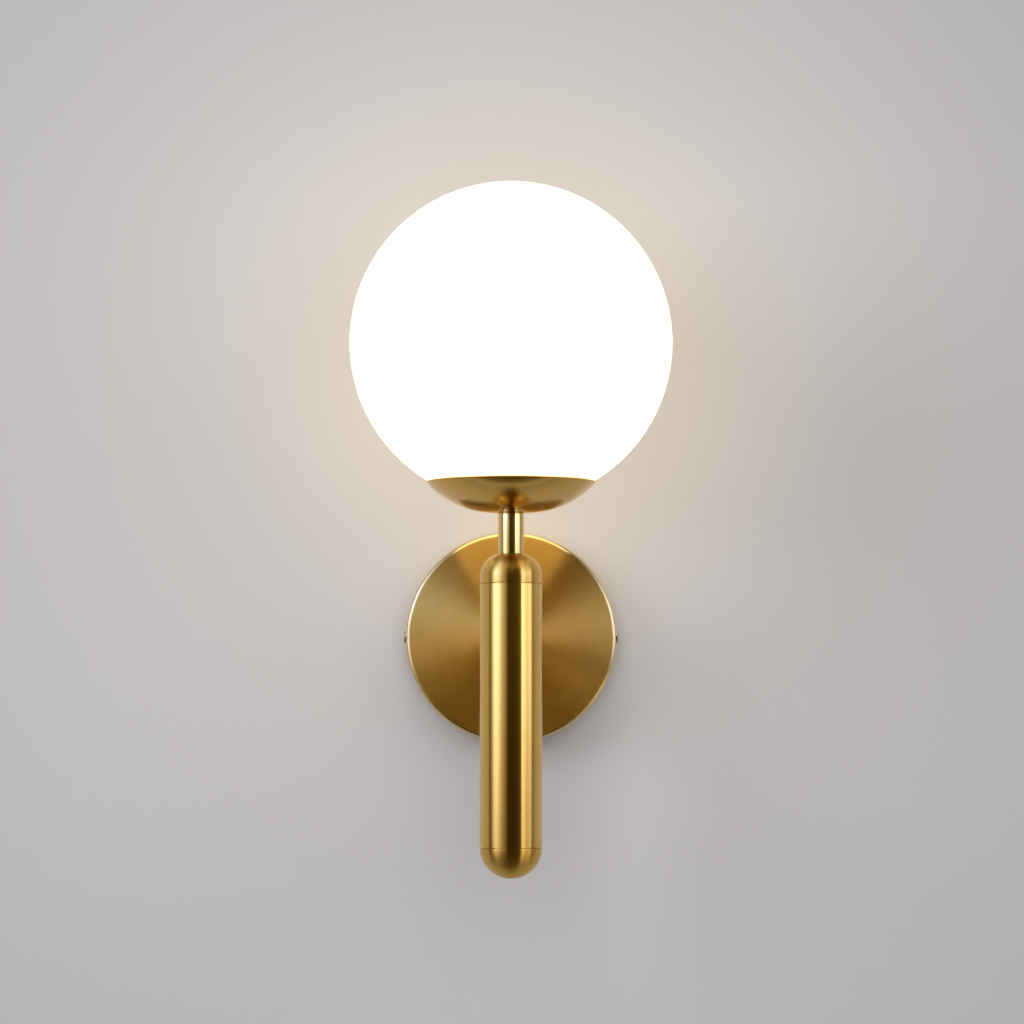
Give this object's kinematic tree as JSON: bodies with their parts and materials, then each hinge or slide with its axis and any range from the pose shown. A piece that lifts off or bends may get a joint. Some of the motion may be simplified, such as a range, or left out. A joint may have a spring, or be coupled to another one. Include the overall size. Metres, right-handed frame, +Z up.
{
  "type": "globe wall sconce",
  "caption": "Wall lamp with an opal glass globe in a shallow cup, on a stem from an upright round-ended brass bar held off a round wall plate by an arm.",
  "frame": {"origin": "on the wall, at the centre of the wall plate and of the bracket's two screw slots", "axes": "+Z up, along the lamp's bar; the lamp stands out of the wall along -Y; +X to the right as seen from the room"},
  "size_m": [0.15, 0.175, 0.3233],
  "materials": {
    "satin_brass": "satin, finely brushed",
    "polished_brass": "polished, pale gold",
    "turned_brass": "bare turned brass",
    "zinc_steel": "zinc plated",
    "nickel_steel": "bright nickel plated",
    "tinned_copper": "tin plated",
    "opal_glass": "white opal, gloss",
    "aluminium": "turned",
    "clear_silicone": "translucent, soft",
    "ceramic": "glazed white ceramic",
    "white_plastic": "matt white",
    "frosted_cover": "frosted, lit from inside",
    "light_board": "white coated metal board",
    "brown_wire": "silicone insulation",
    "blue_wire": "silicone insulation",
    "green_yellow_wire": "green and yellow insulation"
  },
  "bodies": {
    "wall_unit": {"wall_bracket": "zinc_steel", "canopy": "satin_brass", "canopy_side_screws": "nickel_steel", "arm_nipple": "turned_brass", "arm_lock_washer": "zinc_steel", "arm_nut": "zinc_steel", "canopy_earth_lug": "tinned_copper", "bracket_earth_lug": "tinned_copper", "earth_screw": "zinc_steel", "terminal_block": "white_plastic", "terminal_clamps": "turned_brass", "terminal_screws": "zinc_steel", "terminal_block_screw": "zinc_steel", "arm_tube": "satin_brass", "bar_tube": "satin_brass", "bar_top_cap": "satin_brass", "bar_bottom_cap": "satin_brass", "bar_joint_block": "turned_brass", "tie_rod": "zinc_steel", "stem_nipple": "turned_brass", "stem_tube": "polished_brass", "shade_cup": "satin_brass", "globe_carrier": "turned_brass", "holder_strap": "zinc_steel", "stem_lock_washer": "zinc_steel", "stem_nut": "zinc_steel", "lampholder": "ceramic", "lampholder_screws": "zinc_steel", "lampholder_contacts": "turned_brass", "live_wire": "brown_wire", "neutral_wire": "blue_wire", "earth_wire": "green_yellow_wire"},
    "seal": {"seal_ring": "clear_silicone"},
    "globe": {"globe_ring": "aluminium", "globe_glass": "opal_glass", "glass_bond": "clear_silicone"},
    "bulb": {"bulb_base": "white_plastic", "bulb_dome": "frosted_cover", "bulb_light_board": "light_board", "bulb_pins": "nickel_steel"}
  },
  "joints": [
    {"name": "globe_lift", "type": "slide", "parent": "wall_unit", "child": "seal", "axis": [0, 0, 1], "range_m": [0, 0.1]},
    {"name": "globe_twist", "type": "hinge", "parent": "seal", "child": "globe", "pos_m": [0, -0.1, 0.0614], "axis": [0, 0, 1], "range_deg": [0, 1080]},
    {"name": "bulb_pull", "type": "slide", "parent": "wall_unit", "child": "bulb", "axis": [0, 0, 1], "range_m": [0, 0.016]}
  ]
}
